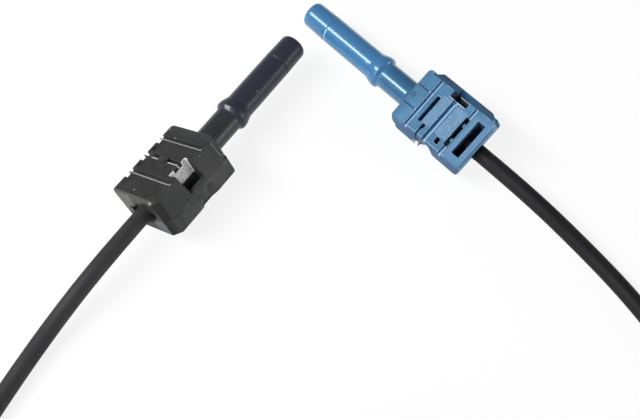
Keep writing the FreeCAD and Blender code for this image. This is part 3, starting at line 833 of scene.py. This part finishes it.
ties = {
    "thickness": 0.5 * mm,
    "thread": 0.17 * mm,
    "crossThread": 0.12 * mm,
    "wave": 0.06 * mm,
    "corner": 3.0 * mm,
    "threads": 14,
    "crossings": 60,
    "halfAngle": 8.6,
    "cornerSteps": 6,
    "threadSides": 6,
    "waveSteps": 3,
    "pieces": {
        "tieLeft": {"node": "coil_tie_left", "angle": 180.0},
        "tieRight": {"node": "coil_tie_right", "angle": 0.0},
    },
}


# what a geometry node puts out first
def geometry(tree, kind, inputs, **settings):
    return addNode(tree, "GeometryNode" + kind, inputs, **settings).outputs[0]


def makeTieWeave(setup):
    inputs = {
        "Width": "Float", "Height": "Float", "Corner": "Float", "Thread": "Float", "Cross Thread": "Float",
        "Wave": "Float", "Threads": "Int", "Crossings": "Int", "Half Angle": "Float", "Coil Radius": "Float",
        "Coil Height": "Float", "Coil Centre": "Vector", "Turn": "Vector", "Material": "Material",
    }
    tree, given, result = newGroup("tieWeave", "GeometryNodeTree", inputs, {"Geometry": "Geometry"})
    upright = (math.pi / 2, 0, 0)

    # path round the bundle, standing beside the coil's axis
    size = {"Width": given["Width"], "Height": given["Height"]}
    path = geometry(tree, "CurvePrimitiveQuadrilateral", size)
    fillet = {"Curve": path, "Radius": given["Corner"], "Count": setup["cornerSteps"]}
    path = geometry(tree, "FilletCurve", fillet, mode="POLY")
    path = geometry(tree, "ResampleCurve", {"Curve": path, "Count": given["Crossings"]}, mode="COUNT")
    axisGap = {"X": given["Coil Radius"], "Z": given["Coil Height"]}
    middle = addNode(tree, "ShaderNodeCombineXYZ", axisGap).outputs[0]
    path = geometry(tree, "Transform", {"Geometry": path, "Translation": middle, "Rotation": upright})

    # one thread that starts over a cross thread and one that starts under it
    place = tree.nodes.new("GeometryNodeInputPosition").outputs["Position"]
    index = tree.nodes.new("GeometryNodeInputIndex").outputs["Index"]
    away = vectorCalc(tree, "NORMALIZE", vectorCalc(tree, "SUBTRACT", place, middle))
    odd = calc(tree, "MODULO", index, 2.0)
    side = calc(tree, "SUBTRACT", calc(tree, "MULTIPLY", odd, 2.0), 1.0)
    ring = {"Resolution": setup["threadSides"], "Radius": given["Thread"]}
    profile = geometry(tree, "CurvePrimitiveCircle", ring)
    kinds = tree.nodes.new("GeometryNodeJoinGeometry")
    for way in (1.0, -1.0):
        height = calc(tree, "MULTIPLY", calc(tree, "MULTIPLY", side, way), given["Wave"])
        lift = {0: away, "Scale": height}
        shift = addNode(tree, "ShaderNodeVectorMath", lift, operation="SCALE").outputs["Vector"]
        line = geometry(tree, "SetPosition", {"Geometry": path, "Offset": shift})
        line = geometry(tree, "CurveSplineType", {"Curve": line}, spline_type="CATMULL_ROM")
        line = geometry(tree, "SetSplineResolution", {0: line, "Resolution": setup["waveSteps"]})
        thread = geometry(tree, "CurveToMesh", {"Curve": line, "Profile Curve": profile})
        tree.links.new(geometry(tree, "GeometryToInstance", {0: thread}), kinds.inputs[0])

    # long threads side by side about the coil's axis
    gaps = calc(tree, "SUBTRACT", given["Threads"], 1.0)
    share = calc(tree, "SUBTRACT", calc(tree, "MULTIPLY", calc(tree, "DIVIDE", index, gaps), 2.0), 1.0)
    angle = calc(tree, "MULTIPLY", share, given["Half Angle"])
    turn = addNode(tree, "ShaderNodeCombineXYZ", {"Z": angle}).outputs[0]
    turn = addNode(tree, "FunctionNodeEulerToRotation", {0: turn}).outputs[0]
    starts = geometry(tree, "Points", {"Count": given["Threads"]})
    fan = {"Points": starts, "Instance": kinds.outputs[0], "Rotation": turn}
    byTurns = {"Pick Instance": True, "Instance Index": odd}
    longThreads = geometry(tree, "InstanceOnPoints", fan | byTurns)

    # cross threads as long as the band is wide at their distance from the axis
    rodSize = {"Vertices": setup["threadSides"], "Radius": given["Cross Thread"], "Depth": 1.0}
    rod = geometry(tree, "MeshCylinder", rodSize)
    rod = geometry(tree, "Transform", {"Geometry": rod, "Rotation": upright})
    distance = addNode(tree, "ShaderNodeSeparateXYZ", {0: place}).outputs["X"]
    half = calc(tree, "MULTIPLY", distance, calc(tree, "SINE", given["Half Angle"]))
    span = {"X": 1.0, "Y": calc(tree, "MULTIPLY", half, 2.0), "Z": 1.0}
    stretch = addNode(tree, "ShaderNodeCombineXYZ", span).outputs[0]
    crossThreads = geometry(tree, "InstanceOnPoints", {"Points": path, "Instance": rod, "Scale": stretch})

    both = tree.nodes.new("GeometryNodeJoinGeometry")
    for threads in (longThreads, crossThreads):
        tree.links.new(threads, both.inputs[0])
    band = geometry(tree, "RealizeInstances", {0: both.outputs[0]})
    seat = {"Geometry": band, "Translation": given["Coil Centre"], "Rotation": given["Turn"]}
    band = geometry(tree, "Transform", seat)
    band = geometry(tree, "SetMaterial", {"Geometry": band, "Material": given["Material"]})
    feed(tree, result["Geometry"], band)
    return tree


def makeTie(name, tree, setup):
    piece = bpy.data.objects.new(name, bpy.data.meshes.new(name + "Start"))
    scene.collection.objects.link(piece)
    columns = max(len(row) for row in cable["rows"])
    stack = len(cable["rows"]) * cable["diameter"]
    values = {
        "Width": columns * cable["diameter"] + setup["thickness"],
        "Height": stack + setup["thickness"],
        "Corner": setup["corner"],
        "Thread": setup["thread"],
        "Cross Thread": setup["crossThread"],
        "Wave": setup["wave"],
        "Threads": setup["threads"],
        "Crossings": setup["crossings"],
        "Half Angle": math.radians(setup["halfAngle"]),
        "Coil Radius": cable["coilRadius"] * mm,
        "Coil Height": cable["liftOffTable"] * mm + stack / 2,
        "Coil Centre": (*(Vector(cable["coilCentre"]) * mm), 0.0),
        "Turn": (0.0, 0.0, math.radians(setup["pieces"][name]["angle"])),
        "Material": finishes["tie_band"],
    }
    weave = piece.modifiers.new("weave", "NODES")
    weave.node_group = tree
    for socket in tree.interface.items_tree:
        if socket.in_out == "INPUT":
            weave[socket.identifier] = values[socket.name]
    woven = bpy.data.meshes.new_from_object(piece.evaluated_get(bpy.context.evaluated_depsgraph_get()))
    piece.modifiers.remove(weave)
    piece.data = woven
    woven.polygons.foreach_set("use_smooth", [True] * len(woven.polygons))
    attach(piece, "cable_assembly")
    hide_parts(setup["pieces"][name]["node"])
    print("  ", name, len(woven.polygons), "faces")
    return piece


tieWeave = makeTieWeave(ties)
tiePieces = [makeTie(name, tieWeave, ties) for name in ties["pieces"]]
print("coil tied")


# floor and light: white all round, a bright soft box on the left, weak panels low right and near left

floorSetup = {"size": 4.0, "colour": (0.95, 0.95, 0.95, 1), "shadowShare": 0.16, "seen": 1.0}
lamps = {
    "leftBox": {
        "towards": (-0.65, -0.128, 0.749), "distance": 0.4, "size": (0.08, 0.30),
        "along": (-0.678, 0.735, 0.0), "power": 1.5,
    },
    "rightPanel": {
        "towards": (0.97, -0.2, 0.06), "distance": 0.45, "size": (0.3, 0.2),
        "along": (0.0, 0.0, 1.0), "power": 1.4,
    },
    "nearPanel": {
        "towards": (-0.66, -0.68, 0.32), "distance": 0.45, "size": (0.3, 0.3),
        "along": (0.0, 0.0, 1.0), "power": 0.6,
    },
}
# light all round, weaker from the far right
worldSetup = {
    "near": 0.42, "far": 0.20, "farSide": (0.45, 0.85, 0.1), "turnRange": (-0.6, 0.8), "seen": 1.0,
}


# 1 for rays that show a surface rather than light it
def seenDirectly(tree):
    rays = tree.nodes.new("ShaderNodeLightPath").outputs
    mirrored = calc(tree, "MAXIMUM", rays["Is Glossy Ray"], rays["Is Transmission Ray"])
    return calc(tree, "MAXIMUM", rays["Is Camera Ray"], mirrored)


def makeFloor(setup):
    half = setup["size"] / 2
    mesh = bpy.data.meshes.new("floor")
    corners = [(-half, -half, 0), (half, -half, 0), (half, half, 0), (-half, half, 0)]
    mesh.from_pydata(corners, [], [(0, 1, 2, 3)])
    floor = bpy.data.objects.new("floor", mesh)
    scene.collection.objects.link(floor)
    material, tree, _ = newMaterial("paleFloor")
    tree.nodes.remove(tree.nodes["Principled BSDF"])
    paper = addNode(tree, "ShaderNodeBsdfDiffuse", {"Color": setup["colour"]}).outputs[0]
    white = addNode(tree, "ShaderNodeEmission", {"Strength": setup["seen"]}).outputs[0]
    share = calc(tree, "MULTIPLY", seenDirectly(tree), 1 - setup["shadowShare"])
    mix = addNode(tree, "ShaderNodeMixShader", {0: share, 1: paper, 2: white})
    feed(tree, tree.nodes["Material Output"].inputs["Surface"], mix.outputs[0])
    mesh.materials.append(material)


def makeLamps(setups):
    for name, setup in setups.items():
        data = bpy.data.lights.new(name, "AREA")
        data.shape = "RECTANGLE"
        data.size, data.size_y = setup["size"]
        data.energy = setup["power"]
        lamp = bpy.data.objects.new(name, data)
        towards = Vector(setup["towards"]).normalized()
        across = Vector(setup["along"]).cross(towards).normalized()
        turn = Matrix((across, towards.cross(across), towards)).transposed()
        lamp.matrix_world = Matrix.Translation(towards * setup["distance"]) @ turn.to_4x4()
        scene.collection.objects.link(lamp)


def makeWorld(setup):
    world = bpy.data.worlds.new("studio")
    world.use_nodes = True
    tree = world.node_tree
    background = tree.nodes["Background"].inputs
    background["Color"].default_value = (1, 1, 1, 1)
    way = tree.nodes.new("ShaderNodeTexCoord").outputs["Generated"]
    turning = {0: way, 1: Vector(setup["farSide"]).normalized()}
    turned = addNode(tree, "ShaderNodeVectorMath", turning, operation="DOT_PRODUCT").outputs["Value"]
    light = mixValue(tree, ramp(tree, turned, *setup["turnRange"]), setup["near"], setup["far"])
    camera = tree.nodes.new("ShaderNodeLightPath").outputs["Is Camera Ray"]
    feed(tree, background["Strength"], mixValue(tree, camera, light, setup["seen"]))
    scene.world = world
    scene.view_settings.view_transform = "Standard"


makeFloor(floorSetup)
makeLamps(lamps)
makeWorld(worldSetup)
print("floor and light set")
